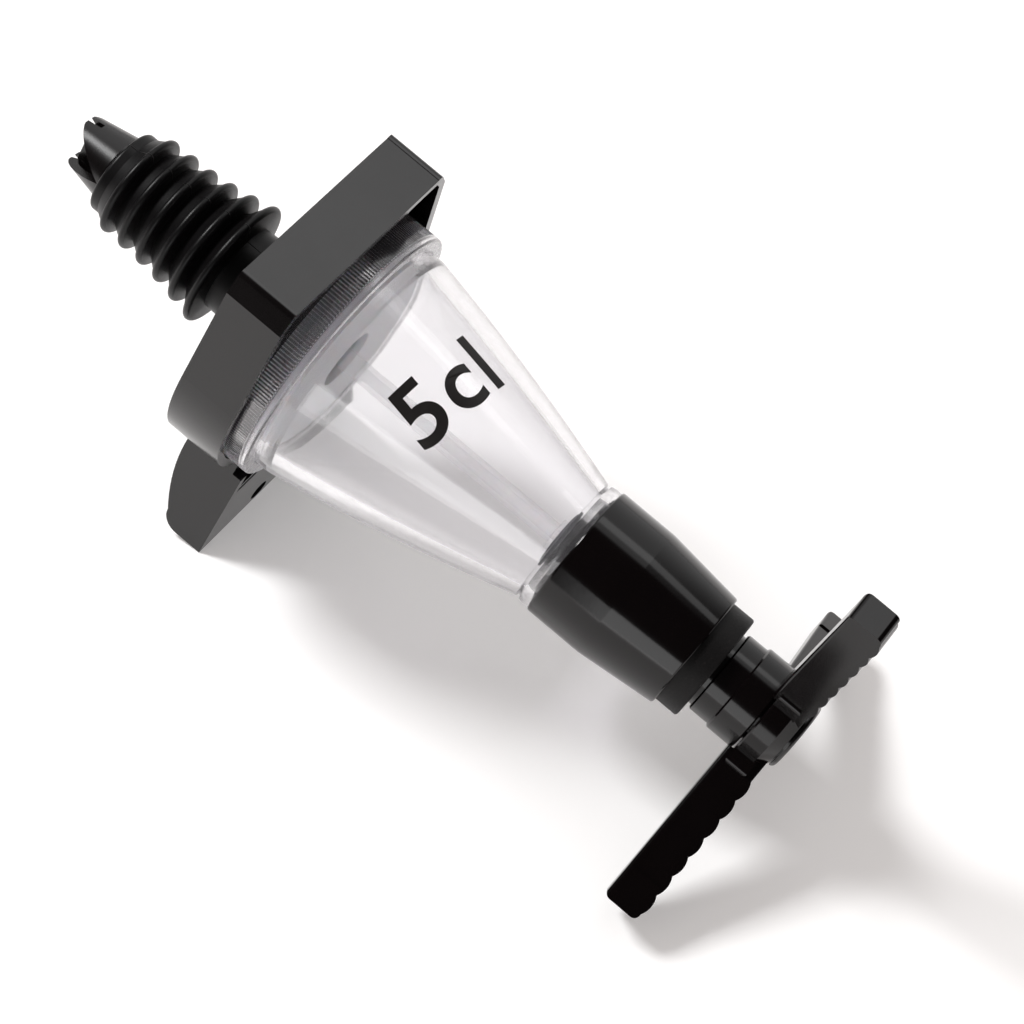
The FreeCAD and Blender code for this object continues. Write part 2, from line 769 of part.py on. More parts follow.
def make_inlet_seal():
    """Rubber disc that closes the stem when the arms are pressed."""
    return tube(spindle_radius + press_gap, inlet_seal_radius, inlet_seal_under, inlet_seal_top)


def make_outlet_seal():
    """Rubber disc that closes the outlet at rest."""
    inner = spindle_radius + press_gap
    chamfer = outlet_seal_thickness / 3
    return turned([
        (inner, outlet_seal_under), (outlet_seal_radius, outlet_seal_under),
        (outlet_seal_radius, outlet_seal_top - chamfer), (outlet_seal_radius - chamfer, outlet_seal_top),
        (inner, outlet_seal_top)])


def make_clip():
    """Steel snap clip on the spindle under the outlet seal."""
    low = outlet_seal_under - clip_thickness
    ring = tube(spindle_radius + press_gap, clip_radius, low, outlet_seal_under)
    mouth = box((0, -clip_mouth / 2, low - overrun),
                (2 * clip_radius, clip_mouth / 2, outlet_seal_under + overrun))
    return ring.cut(mouth)


def make_vent_valve():
    """Rubber duckbill on the spindle's lower end, which lets air in and keeps the liquor back."""
    inner = spindle_radius + press_gap
    outer = spindle_radius + vent_cap_wall
    shoulder = spindle_bottom - press_gap
    bill_tip = shoulder - vent_bill_length
    cap = turned([
        (inner, shoulder + vent_cap_height), (inner, shoulder), (0, shoulder),
        (0, shoulder - vent_cap_floor), (outer, shoulder - vent_cap_floor),
        (outer, shoulder + vent_cap_height)])
    half = vent_bill_thickness / 2
    side_face = Part.Face(Part.makePolygon([
        V(-outer, -outer, shoulder), V(-outer, outer, shoulder), V(-outer, half, bill_tip),
        V(-outer, -half, bill_tip), V(-outer, -outer, shoulder)]))
    bill = side_face.extrude(V(2 * outer, 0, 0)).common(rod(outer, bill_tip - overrun, shoulder))
    slit_reach = outer * vent_slit_share
    slit = box((-slit_reach, -vent_slit_width / 2, bill_tip - overrun),
               (slit_reach, vent_slit_width / 2, shoulder + overrun))
    return cap.fuse(bill).cut(slit).removeSplitter()


def arm_profile():
    """Side view of one arm: straight top, round tip and a scalloped underside."""
    low = arm_bottom
    valley = low + lobe_height
    inner = (hub_radius + stop_ring_radius) / 3
    points = [(inner, valley), (inner, arm_top)]
    points += round_corner((arm_reach, arm_top), (inner, arm_top), (arm_reach, low), arm_corner)
    points += round_corner((arm_reach, valley), (arm_reach, arm_top), (inner, valley), arm_corner)
    lobe_out = arm_reach - arm_corner - lobe_inset
    lobes = int((lobe_out - hub_radius) / lobe_pitch)
    points += [(lobe_out, valley)]
    for number in range(lobes):
        outer = lobe_out - number * lobe_pitch
        points += [(outer - lobe_pitch / 2, low, outer - lobe_pitch, valley)]
    return outline_face(points)


def arm_section(start, width):
    """Bar along X with the arm's cross section, rounded along its two upper edges."""
    half = width / 2
    points = [(-half, arm_bottom - overrun), (half, arm_bottom - overrun)]
    points += round_corner((half, arm_top), (half, arm_bottom), (-half, arm_top), arm_edge)
    points += round_corner((-half, arm_top), (half, arm_top), (-half, arm_bottom), arm_edge)
    face = outline_face(points)
    face.rotate(ORIGIN, AXIS, 90)
    face.translate(V(start, 0, 0))
    return face.extrude(V(arm_reach, 0, 0))


def make_star():
    """Three-armed actuator that turns freely on the plunger's spigot."""
    arm = arm_profile()
    arm.translate(V(0, -arm_width, 0))
    arm = arm.extrude(V(0, 2 * arm_width, 0))
    bar = arm_section(0, arm_width)
    end_bar = arm_section(arm_reach - arm_end_length, arm_width + 2 * arm_end_proud)
    arm = arm.common(bar.fuse(end_bar))
    root = box((hub_radius / 2, -arm_root_width / 2, hub_top - arm_root_drop),
               (arm_root_reach, arm_root_width / 2, hub_top))
    ends = [e for e in root.Edges if abs(e.CenterOfMass.x - arm_root_reach) < 1e-4]
    root = root.makeFillet(arm_root_round, ends)
    points = [(0, hub_bottom), (hub_radius - hub_edge, hub_bottom)]
    points += [(hub_radius, hub_bottom + hub_edge), (hub_radius, hub_top - hub_top_bevel)]
    points += [(hub_radius - hub_top_bevel, hub_top), (0, hub_top)]
    pieces = []
    for number in range(arm_count):
        angle = -90 + number * 360 / arm_count
        pieces += [turn(arm, angle), turn(root, angle)]
    star = turned(points).fuse(pieces)
    bore = rod(spigot_radius + running_gap, arm_bottom - overrun, hub_top + overrun)
    stop_room = rod(stop_ring_radius + body_gap, hub_top, arm_top + overrun)
    hub_room = rod(hub_radius - hub_edge, arm_bottom - overrun, hub_bottom)
    return star.cut([bore, stop_room, hub_room]).removeSplitter()


def make_nozzle():
    """Nozzle tip: a rounded lip with a spigot pressed into the plunger."""
    spigot_top = nozzle_top + nozzle_spigot_length
    outer = plunger_bore - press_gap
    bulge_r = nozzle_lip_radius + nozzle_bulge_out * (nozzle_flange_radius - nozzle_lip_radius)
    bulge_z = nozzle_bottom + nozzle_bulge_up * nozzle_height
    return turned([
        (nozzle_bore, nozzle_bottom + nozzle_bevel), (nozzle_bore + nozzle_bevel, nozzle_bottom),
        (nozzle_lip_radius, nozzle_bottom),
        (bulge_r, bulge_z, nozzle_flange_radius, nozzle_top), (outer, nozzle_top),
        (outer, spigot_top), (nozzle_bore, spigot_top)])


save(make_collar(), "collar_housing")
save(make_front_plate(), "front_plate")
save(make_stem(), "inlet_stem")
save(make_bung(), "bottle_bung")
save(make_stem_gasket(), "stem_gasket")
save(make_disc(), "inlet_disc")
save(make_chamber_gasket(), "chamber_gasket")
save(make_ring_nut(), "ring_nut")
save(make_chamber(), "measuring_chamber")
save(make_tail_gasket(), "tail_gasket")
save(make_outlet_seat(), "outlet_seat")
save(make_sleeve(), "lower_sleeve")
save(make_end_ring(), "end_ring")
save(make_spring(), "return_spring")
save(make_washer(), "spring_washer")
save(make_plunger(), "plunger")
save(make_spindle(), "spindle_tube")
save(make_inlet_seal(), "inlet_seal")
save(make_outlet_seal(), "outlet_seal")
save(make_clip(), "seal_clip")
save(make_vent_valve(), "vent_valve")
save(make_star(), "actuator_star")
save(make_nozzle(), "nozzle_tip")
print("overall height %.1f" % (bung_height + head_height - nozzle_bottom))
print("collar top to nozzle %.1f" % -nozzle_bottom)
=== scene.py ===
import math

import bpy
from mathutils import Matrix, Vector


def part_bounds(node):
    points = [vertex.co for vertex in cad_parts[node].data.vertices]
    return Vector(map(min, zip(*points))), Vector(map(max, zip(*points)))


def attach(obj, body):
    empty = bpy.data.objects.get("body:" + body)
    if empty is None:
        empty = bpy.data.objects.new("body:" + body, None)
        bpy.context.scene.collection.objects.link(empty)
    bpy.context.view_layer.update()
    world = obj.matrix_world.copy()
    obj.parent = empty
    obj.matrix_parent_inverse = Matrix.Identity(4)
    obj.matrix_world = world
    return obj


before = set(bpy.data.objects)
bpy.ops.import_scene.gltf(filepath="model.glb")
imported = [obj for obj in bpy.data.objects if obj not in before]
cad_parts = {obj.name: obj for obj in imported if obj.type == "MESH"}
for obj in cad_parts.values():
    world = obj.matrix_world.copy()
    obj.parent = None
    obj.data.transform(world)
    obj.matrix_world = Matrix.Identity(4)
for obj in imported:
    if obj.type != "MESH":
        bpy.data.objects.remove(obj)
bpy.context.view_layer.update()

bl_info = {
    "name": "Spirit measure",
    "version": (1, 0, 0),
    "blender": (4, 5, 0),
    "location": "3D View > Sidebar > Measure",
    "description": "Dresses a bottle-top spirit measure and sets its studio stage",
    "category": "Object",
}

# Sizes are in millimetres unless a line says otherwise. MM turns them into metres.
MM = 0.001
WHITE = (1.0, 1.0, 1.0, 1.0)

# The bung's mould seam
SEAM_HALF_WIDTH = 0.14
SEAM_HEIGHT = 0.12

# The ring nut: its grooves, how much painted shade they get from valley to crest, and the plain lip below
# them
KNURL_COUNT = 240
GROOVE_SHADE_STOPS = [(0.0, 0.62), (0.40, 0.0)]
NUT_LIP = 1.6

# Clear plastic: its share of milk from face on to edge on, and the tint of its shadow
MILK_STOPS = [(0.0, 0.02), (0.60, 0.05), (0.97, 0.45)]
SHADOW_TINT = (0.94, 0.93, 0.95, 1.0)

# The printed mark: its gap to the chamber's wall, and the cuts that let its letters bend round the wall
MARK_LIFT = 0.03
MARK_CUTS = 3

# Camera: its sensor, and the nearest and farthest that it sees, in metres
SENSOR = 36.0
CLIP_NEAR = 0.01
CLIP_FAR = 20.0

# Floor: its side in metres, and the gap that it leaves behind the star
FLOOR_SIZE = 6.0
STAR_REAR_GAP = 2.5

# Bright side of the room in reflections, as stops of brightness. Turns run from 0 at the front to 1
# at the back by way of the right, and heights from 0 straight down to 1 straight up.
PANEL_TURN = [(0.085, 0.0), (0.095, 1.0), (0.50, 1.0), (0.56, 0.0)]
PANEL_HEIGHT = [(0.41, 0.0), (0.44, 1.0), (0.85, 1.0), (0.90, 0.0)]

# Lamps: the point that they light, and from it each one's direction and distance, its sides and its watts
LAMPS_AIM = (0.0, 0.0, -50.0)
LAMPS = {
    "key": {"toward": (-0.10, -0.60, 0.79), "away": 1200.0, "wide": 300.0, "tall": 300.0, "watts": 12.5},
    "soft_box": {"toward": (-0.96, -0.12, -0.26), "away": 700.0, "wide": 480.0, "tall": 360.0, "watts": 1.3},
    "strip": {"toward": (0.53, -0.84, 0.13), "away": 900.0, "wide": 200.0, "tall": 760.0, "watts": 0.6},
}

# Numbers of the colour mix node's sockets, which share their names with its other kinds
MIX_FIRST = 6
MIX_SECOND = 7
MIX_RESULT = 2


def part_box(node):
    """Lowest and highest corner of a node, in millimetres."""
    low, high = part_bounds(node)
    return Vector(low) / MM, Vector(high) / MM


# Settings that the panel shows


class MeasureColours(bpy.types.PropertyGroup):
    """Colours of the measure's plastics, rubbers and metal."""

    black: bpy.props.FloatVectorProperty(
        name="Black plastic", description="Body colour of the gloss black mouldings",
        subtype="COLOR", size=3, min=0.0, max=1.0, default=(0.0022, 0.0014, 0.0015))
    matte: bpy.props.FloatVectorProperty(
        name="Matte black", description="Colour of the end ring",
        subtype="COLOR", size=3, min=0.0, max=1.0, default=(0.0026, 0.0020, 0.0020))
    rubber: bpy.props.FloatVectorProperty(
        name="Bung rubber", description="Colour of the bottle bung",
        subtype="COLOR", size=3, min=0.0, max=1.0, default=(0.0022, 0.0019, 0.0021))
    seal: bpy.props.FloatVectorProperty(
        name="Seal rubber", description="Colour of the gaskets, seals and vent valve",
        subtype="COLOR", size=3, min=0.0, max=1.0, default=(0.03, 0.03, 0.032))
    clear: bpy.props.FloatVectorProperty(
        name="Clear plastic", description="Tint of the chamber and the ring nut",
        subtype="COLOR", size=3, min=0.0, max=1.0, default=(0.972, 0.967, 0.978))
    # Painted shade: this dark colour is laid in the ring nut's grooves to stand in for their shade and the
    # black skirt seen through them
    groove_shade: bpy.props.FloatVectorProperty(
        name="Knurl grooves", description="Colour of the ring nut's shaded grooves",
        subtype="COLOR", size=3, min=0.0, max=1.0, default=(0.02, 0.02, 0.022))
    haze: bpy.props.FloatVectorProperty(
        name="Haze", description="Colour of the faint milk in the clear plastic",
        subtype="COLOR", size=3, min=0.0, max=1.0, default=(0.80, 0.79, 0.83))
    white: bpy.props.FloatVectorProperty(
        name="White plastic", description="Colour of the inlet disc and the spindle",
        subtype="COLOR", size=3, min=0.0, max=1.0, default=(0.80, 0.80, 0.82))
    steel: bpy.props.FloatVectorProperty(
        name="Steel", description="Colour of the spring, washer and clip",
        subtype="COLOR", size=3, min=0.0, max=1.0, default=(0.62, 0.62, 0.63))
    mark: bpy.props.FloatVectorProperty(
        name="Mark ink", description="Colour of the printed capacity mark",
        subtype="COLOR", size=3, min=0.0, max=1.0, default=(0.012, 0.010, 0.010))


class MeasureMark(bpy.types.PropertyGroup):
    """The printed capacity mark on the chamber."""

    words: bpy.props.StringProperty(
        name="Words", description="Capacity printed on the chamber", default="5cl")
    size: bpy.props.FloatProperty(
        name="Size", description="Letter size in millimetres", default=16.3, min=1.0, max=40.0)
    weight: bpy.props.FloatProperty(
        name="Weight", description="Growth of each stroke's edge, in millimetres", default=0.22)
    spacing: bpy.props.FloatProperty(
        name="Spacing", description="Spacing of the letters against the font's own", default=1.08)
    breadth: bpy.props.FloatProperty(
        name="Breadth", description="Breadth of the letters against the font's own", default=1.11)
    tilt: bpy.props.FloatProperty(
        name="Tilt", description="Slope of the mark's foot line, in degrees", default=-6.0)
    angle: bpy.props.FloatProperty(
        name="Angle", description="Turn of the mark's middle from the front, in degrees", default=-13.6)
    drop: bpy.props.FloatProperty(
        name="Drop", description="Height of the mark's foot line under the collar's top, in millimetres",
        default=43.7, min=20.0, max=70.0)


class MeasureStage(bpy.types.PropertyGroup):
    """Camera, floor, room and lamps."""

    azimuth: bpy.props.FloatProperty(
        name="Azimuth", description="Camera's turn round the measure, in degrees", default=-32.59)
    distance: bpy.props.FloatProperty(
        name="Distance", description="Camera's distance from the axis, in millimetres", default=498.5)
    eye_height: bpy.props.FloatProperty(
        name="Eye height", description="Camera's height from the collar's top, in millimetres", default=-97.0)
    aim_side: bpy.props.FloatProperty(
        name="Aim aside", description="Sideways offset of the aimed point from the axis, in millimetres",
        default=-2.0)
    aim_height: bpy.props.FloatProperty(
        name="Aim height", description="Height of the aimed point from the collar's top, in millimetres",
        default=-59.85)
    roll: bpy.props.FloatProperty(
        name="Roll", description="Roll of the camera, in degrees", default=-50.04)
    lens: bpy.props.FloatProperty(
        name="Lens", description="Focal length in millimetres for a 36 mm sensor", default=94.25)
    lamp_power: bpy.props.FloatProperty(
        name="Lamp power", description="Scale of all lamps together", default=1.0, min=0.0, max=10.0)
    room_soft: bpy.props.FloatVectorProperty(
        name="Room, soft light", description="Colour of the room as it lights dull surfaces",
        subtype="COLOR", size=3, min=0.0, max=1.0, default=(0.405, 0.368, 0.354))
    room_mirror: bpy.props.FloatProperty(
        name="Room, mirrored", description="Grey of the room in reflections", default=0.025)
    room_panel: bpy.props.FloatProperty(
        name="Room panel, mirrored", description="Grey of the room's right side in reflections", default=0.85)
    room_through: bpy.props.FloatProperty(
        name="Room, seen through", description="Grey of the room behind clear plastic", default=0.5)
    floor_glow: bpy.props.FloatProperty(
        name="Floor glow", description="Even light of the floor, which keeps it white", default=0.20)
    floor: bpy.props.FloatVectorProperty(
        name="Floor colour", description="Colour of the plain floor",
        subtype="COLOR", size=3, min=0.0, max=1.0, default=(0.86, 0.86, 0.86))


# Materials


def set_stops(ramp, stops):
    """Ramp stops from (position, grey) pairs."""
    while len(ramp.elements) < len(stops):
        ramp.elements.new(0.5)
    for element, (position, grey) in zip(ramp.elements, stops):
        element.position = position
        element.color = (grey, grey, grey, 1.0)


class Signal:
    """A value on its way through a material's nodes, open to plain arithmetic."""

    def __init__(self, recipe, socket):
        self.recipe = recipe
        self.socket = socket

    def __add__(self, other):
        return self.recipe.joined("ADD", self, other)

    def __mul__(self, other):
        return self.recipe.joined("MULTIPLY", self, other)

    def __gt__(self, other):
        return self.recipe.joined("GREATER_THAN", self, other)

    __radd__ = __add__
    __rmul__ = __mul__


class Recipe:
    """One material, or the room round the stage, and the nodes that make it."""

    def __init__(self, name, blocks=None):
        self.block = (bpy.data.materials if blocks is None else blocks).new(name)
        self.block.use_nodes = True
        self.tree = self.block.node_tree
        self.tree.nodes.clear()

    def feed(self, socket, value):
        """Link a signal to a socket, or set its value."""
        if isinstance(value, Signal):
            self.tree.links.new(value.socket, socket)
        else:
            socket.default_value = value

    def node(self, kind, settings=None, inputs=None, output=0):
        """Any node: its settings are set first, then its sockets are fed."""
        made = self.tree.nodes.new(kind)
        for name, value in (settings or {}).items():
            if name == "stops":
                set_stops(made.color_ramp, value)
            else:
                setattr(made, name, value)
        for name, value in (inputs or {}).items():
            self.feed(made.inputs[name], value)
        return Signal(self, made.outputs[output])

    def joined(self, operation, first, second=0.0):
        """One step of arithmetic on one or two values."""
        return self.node("ShaderNodeMath", {"operation": operation}, {0: first, 1: second})

    def place(self, stretch=(1.0, 1.0, 1.0)):
        """The object's own coordinates in millimetres, stretched along its axes."""
        here = self.node("ShaderNodeTexCoord", output="Object")
        scale = tuple(part / MM for part in stretch)
        return self.node("ShaderNodeMapping", inputs={"Vector": here, "Scale": scale})

    def noise(self, size, detail=2.0, stretch=(1.0, 1.0, 1.0)):
        """Noise from 0 to 1 whose grain is about `size` millimetres."""
        inputs = {"Vector": self.place(stretch), "Scale": 1.0 / size, "Detail": detail}
        return self.node("ShaderNodeTexNoise", inputs=inputs)

    def ramp(self, value, stops):
        """Grey ramp over a value."""
        return self.node("ShaderNodeValToRGB", {"stops": stops}, {"Fac": value})

    def blend(self, share, first, second):
        """Colour mix."""
        inputs = {"Factor": share, MIX_FIRST: first, MIX_SECOND: second}
        return self.node("ShaderNodeMix", {"data_type": "RGBA"}, inputs, MIX_RESULT)

    def bump(self, height, depth, strength, under=None):
        """Relief of `depth` millimetres from a height signal, laid over the relief `under`."""
        inputs = {"Height": height, "Distance": depth * MM, "Strength": strength}
        if under is not None:
            inputs["Normal"] = under
        return self.node("ShaderNodeBump", inputs=inputs)

    def surface(self, **sockets):
        """Principled shader, whose sockets are given with _ for a space."""
        inputs = {name.replace("_", " "): value for name, value in sockets.items()}
        return self.node("ShaderNodeBsdfPrincipled", inputs=inputs)

    def ray(self, kind):
        """1 for rays of one kind, such as Is Shadow Ray, and 0 for the others."""
        return self.node("ShaderNodeLightPath", output=kind)

    def mix(self, share, first, second):
        """Two shaders mixed."""
        return self.node("ShaderNodeMixShader", inputs={"Fac": share, 1: first, 2: second})

    def parts(self, vector):
        """The three numbers of a vector."""
        split = self.tree.nodes.new("ShaderNodeSeparateXYZ")
        self.feed(split.inputs[0], vector)
        return [Signal(self, socket) for socket in split.outputs]

    def finish(self, shader, kind="ShaderNodeOutputMaterial"):
        """Send the shader to the output."""
        output = self.tree.nodes.new(kind)
        self.feed(output.inputs["Surface"], shader)
        return self.block


def solid(colour):
    """Opaque four-part colour from a three-part one."""
    return (*colour, 1.0)


def shade(colour, factor):
    """Colour made lighter or darker."""
    return solid([min(1.0, part * factor) for part in colour])


def gloss_black(name, colour, roughness, shine=0.5):
    """Polished black moulding: faint flow haze and fine dust. `shine` is its specular level."""
    r = Recipe(name)
    cloud = r.noise(size=9.0, detail=3.0)
    grain = r.noise(size=0.5)
    dust = r.ramp(r.noise(size=0.35, detail=1.0), [(0.74, 0.0), (0.80, 1.0)])
    plastic = r.blend(cloud, shade(colour, 0.75), shade(colour, 1.35))
    dusty = r.blend(dust * 0.25, plastic, shade(colour, 9.0))
    rough = cloud * 0.05 + grain * 0.03 + roughness
    flow = r.bump(cloud, depth=0.02, strength=0.5)
    relief = r.bump(grain, depth=0.003, strength=0.4, under=flow)
    return r.finish(r.surface(Base_Color=dusty, Roughness=rough, IOR=1.53, Specular_IOR_Level=shine,
                              Normal=relief))


def matte_black(name, colour):
    """Spark-textured matte black plastic with pale specks."""
    r = Recipe(name)
    grain = r.noise(size=0.28, detail=3.0)
    specks = r.ramp(r.noise(size=0.45), [(0.62, 0.0), (0.70, 1.0)])
    base = r.blend(specks, solid(colour), shade(colour, 3.2))
    rough = 0.42 + grain * 0.2
    relief = r.bump(grain, depth=0.05, strength=0.8)
    return r.finish(r.surface(Base_Color=base, Roughness=rough, IOR=1.5, Specular_IOR_Level=0.22,
                              Normal=relief))


def moulded_rubber(name, colour, bloom, roughness, seam=0.0):
    """Moulded rubber: soft sheen, fine tooth, specks of bloom and a raised seam of `seam` millimetres.

    `bloom` is how much lighter its specks are than its colour.
    """
    r = Recipe(name)
    cloud = r.noise(size=5.0, detail=3.0)
    grain = r.noise(size=0.22)
    specks = r.ramp(r.noise(size=0.4), [(0.64, 0.0), (0.74, 1.0)])
    rubber = r.blend(cloud, shade(colour, 0.8), shade(colour, 1.4))
    bloomed = r.blend(specks * 0.5, rubber, shade(colour, bloom))
    rough = roughness + cloud * 0.12 + grain * 0.1
    relief = r.bump(grain, depth=0.02, strength=0.6)
    if seam:
        aside = r.joined("ABSOLUTE", r.parts(r.place())[0])
        ridge = r.ramp(aside, [(0.0, 1.0), (SEAM_HALF_WIDTH, 0.0)])
        relief = r.bump(ridge, depth=seam, strength=1.0, under=relief)
    return r.finish(r.surface(Base_Color=bloomed, Roughness=rough, IOR=1.5, Specular_IOR_Level=0.22,
                              Normal=relief))


def clear_plastic(name, colours, knurl_foot=None):
    """Clear moulded plastic, milkier where it is seen edge on.

    It has painted shade in dark upright grooves above the height `knurl_foot`, where one is given.
    """
    r = Recipe(name)
    flow = r.noise(size=7.0, stretch=(1.0, 1.0, 0.25))
    grain = r.noise(size=0.8)
    relief = r.bump(flow, depth=0.003, strength=0.6)
    clear = r.surface(Base_Color=solid(colours.clear), Roughness=0.05 + grain * 0.02, IOR=1.5,
                      Transmission_Weight=1.0, Coat_Weight=0.3, Coat_Roughness=0.04, Normal=relief)
    milk = r.surface(Base_Color=solid(colours.haze), Roughness=0.25 + grain * 0.05, IOR=1.5, Normal=relief)
    edge = r.node("ShaderNodeLayerWeight", inputs={"Blend": 0.5}, output="Facing")
    plastic = r.mix(r.ramp(edge, MILK_STOPS), clear, milk)
    if knurl_foot is not None:
        aside, ahead, height = r.parts(r.place())
        # Painted shade: a dark shader between the knurl's crests, above the nut's lip, stands in for shade in
        # the grooves
        crest = r.joined("COSINE", r.joined("ARCTAN2", aside, ahead) * KNURL_COUNT)
        groove_shade = r.surface(Base_Color=solid(colours.groove_shade), Roughness=0.15 + grain * 0.08, IOR=1.5)
        plastic = r.mix(r.ramp(crest, GROOVE_SHADE_STOPS) * (height > knurl_foot), plastic, groove_shade)
    tinted = r.node("ShaderNodeBsdfTransparent", inputs={"Color": SHADOW_TINT})
    return r.finish(r.mix(r.ray("Is Shadow Ray"), plastic, tinted))


def white_plastic(name, colour, clarity, alpha=1.0):
    """Translucent white plastic.

    `clarity` is the share of light that goes through blurred, and what `alpha` leaves goes straight through.
    """
    r = Recipe(name)
    cloud = r.noise(size=4.0, detail=3.0)
    grain = r.noise(size=0.3)
    base = r.blend(cloud, shade(colour, 0.94), shade(colour, 1.04))
    rough = 0.33 + grain * 0.12
    relief = r.bump(grain, depth=0.01, strength=0.5)
    return r.finish(r.surface(Base_Color=base, Roughness=rough, IOR=1.5, Transmission_Weight=clarity,
                              Alpha=alpha, Subsurface_Weight=0.25, Subsurface_Scale=1.5 * MM,
                              Normal=relief))


def bright_steel(name, colour):
    """Drawn and stamped bright steel."""
    r = Recipe(name)
    lines = r.noise(size=0.25, detail=3.0, stretch=(1.0, 1.0, 0.15))
    base = r.blend(lines, shade(colour, 0.85), shade(colour, 1.1))
    rough = 0.18 + lines * 0.12
    relief = r.bump(lines, depth=0.004, strength=0.5)
    return r.finish(r.surface(Base_Color=base, Roughness=rough, Metallic=1.0, Normal=relief))


def printed_ink(name, colour):
    """Black screen-printed ink with a slightly dry face."""
    r = Recipe(name)
    grain = r.noise(size=0.2)
    base = r.blend(grain, shade(colour, 0.8), shade(colour, 1.5))
    rough = 0.3 + grain * 0.15
    relief = r.bump(grain, depth=0.006, strength=0.5)
    return r.finish(r.surface(Base_Color=base, Roughness=rough, IOR=1.5, Normal=relief))


# Pieces


def dress(node, material):
    """Give a node of the frame its material, in every slot that it has."""
    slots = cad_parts[node].data.materials
    for index in range(len(slots)):
        slots[index] = material


def deselect():
    """Leave nothing selected, so that an operator acts on its own piece alone."""
    bpy.ops.object.select_all(action="DESELECT")


def settle(piece, name, material, body):
    """Name a finished piece, give it its material and let it ride on its body."""
    piece.name = name
    piece.data.name = name
    piece.data.materials.clear()
    piece.data.materials.append(material)
    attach(piece, body)


def outer_radius(node, z):
    """Outer radius of a turned node at a height, found by a ray from a metre in front of the axis."""
    start = Vector((0.0, -1.0, z * MM))
    hit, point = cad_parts[node].ray_cast(start, Vector((0.0, 1.0, 0.0)))[:2]
    if not hit:
        raise RuntimeError("no wall at that height")
    return -point.y / MM


class MEASURE_OT_body(bpy.types.Operator):
    """Dress the black mouldings, the bung and the end ring"""

    bl_idname = "measure.body"
    bl_label = "Black parts"

    def execute(self, context):
        colours = context.scene.measure_colours
        dress("collar_housing", gloss_black("collar_black", colours.black, 0.17))
        dress("front_plate", gloss_black("plate_black", colours.black, 0.20))
        dress("inlet_stem", gloss_black("stem_black", colours.black, 0.22))
        dress("lower_sleeve", gloss_black("sleeve_black", colours.black, 0.08, shine=0.36))
        dress("outlet_seat", gloss_black("seat_black", colours.black, 0.15))
        dress("plunger", gloss_black("plunger_black", colours.black, 0.10, shine=0.36))
        dress("nozzle_tip", gloss_black("nozzle_black", colours.black, 0.20))
        dress("actuator_star", gloss_black("star_black", colours.black, 0.12, shine=0.30))
        dress("end_ring", matte_black("ring_matte", colours.matte))
        bung = moulded_rubber("bung_rubber", colours.rubber, bloom=2.2, roughness=0.28, seam=SEAM_HEIGHT)
        dress("bottle_bung", bung)
        return {"FINISHED"}


class MEASURE_OT_clear(bpy.types.Operator):
    """Dress the clear chamber and ring nut"""

    bl_idname = "measure.clear"
    bl_label = "Clear parts"

    def execute(self, context):
        colours = context.scene.measure_colours
        dress("measuring_chamber", clear_plastic("chamber_clear", colours))
        nut_foot = part_box("ring_nut")[0].z
        # The ring nut's material has painted shade in its grooves above the plain lip
        dress("ring_nut", clear_plastic("nut_clear_groove_shade", colours, nut_foot + NUT_LIP))
        return {"FINISHED"}


class MEASURE_OT_inside(bpy.types.Operator):
    """Dress the white disc and spindle, the seals, the spring, its washer and the clip"""

    bl_idname = "measure.inside"
    bl_label = "Inner parts"

    def execute(self, context):
        colours = context.scene.measure_colours
        dress("inlet_disc", white_plastic("disc_white", colours.white, 0.25))
        dress("spindle_tube", white_plastic("spindle_white", colours.white, 0.4, alpha=0.2))
        dress("chamber_gasket", white_plastic("gasket_white", colours.white, 0.4))
        seal = moulded_rubber("seal_rubber", colours.seal, bloom=1.6, roughness=0.45)
        for node in ("stem_gasket", "tail_gasket", "inlet_seal", "outlet_seal", "vent_valve"):
            dress(node, seal)
        steel = bright_steel("bright_steel", colours.steel)
        for node in ("return_spring", "spring_washer", "seal_clip"):
            dress(node, steel)
        return {"FINISHED"}


class MEASURE_OT_mark(bpy.types.Operator):
    """Print the capacity mark round the chamber"""

    bl_idname = "measure.mark"
    bl_label = "Capacity mark"

    def execute(self, context):
        mark = context.scene.measure_mark
        deselect()
        bpy.ops.object.text_add()
        words = context.object
        words.data.body = mark.words
        words.data.size = mark.size
        words.data.offset = mark.weight
        words.data.space_character = mark.spacing
        words.data.align_x = "CENTER"
        bpy.ops.object.convert(target="MESH")
        piece = context.object
        bpy.ops.object.mode_set(mode="EDIT")
        bpy.ops.mesh.select_all(action="SELECT")
        bpy.ops.mesh.quads_convert_to_tris()
        bpy.ops.mesh.subdivide(number_cuts=MARK_CUTS)
        bpy.ops.object.mode_set(mode="OBJECT")
        piece.data.transform(Matrix.Diagonal((mark.breadth, 1.0, 1.0, 1.0)))
        piece.data.transform(Matrix.Rotation(math.radians(mark.tilt), 4, "Z"))
        for vertex in piece.data.vertices:
            z = vertex.co.y - mark.drop
            radius = outer_radius("measuring_chamber", z) + MARK_LIFT
            angle = math.radians(mark.angle) + vertex.co.x / radius
            vertex.co = Vector((radius * math.sin(angle), -radius * math.cos(angle), z)) * MM
        ink = printed_ink("mark_ink", context.scene.measure_colours.mark)
        settle(piece, "capacity_mark", ink, "dispenser_body")
        return {"FINISHED"}


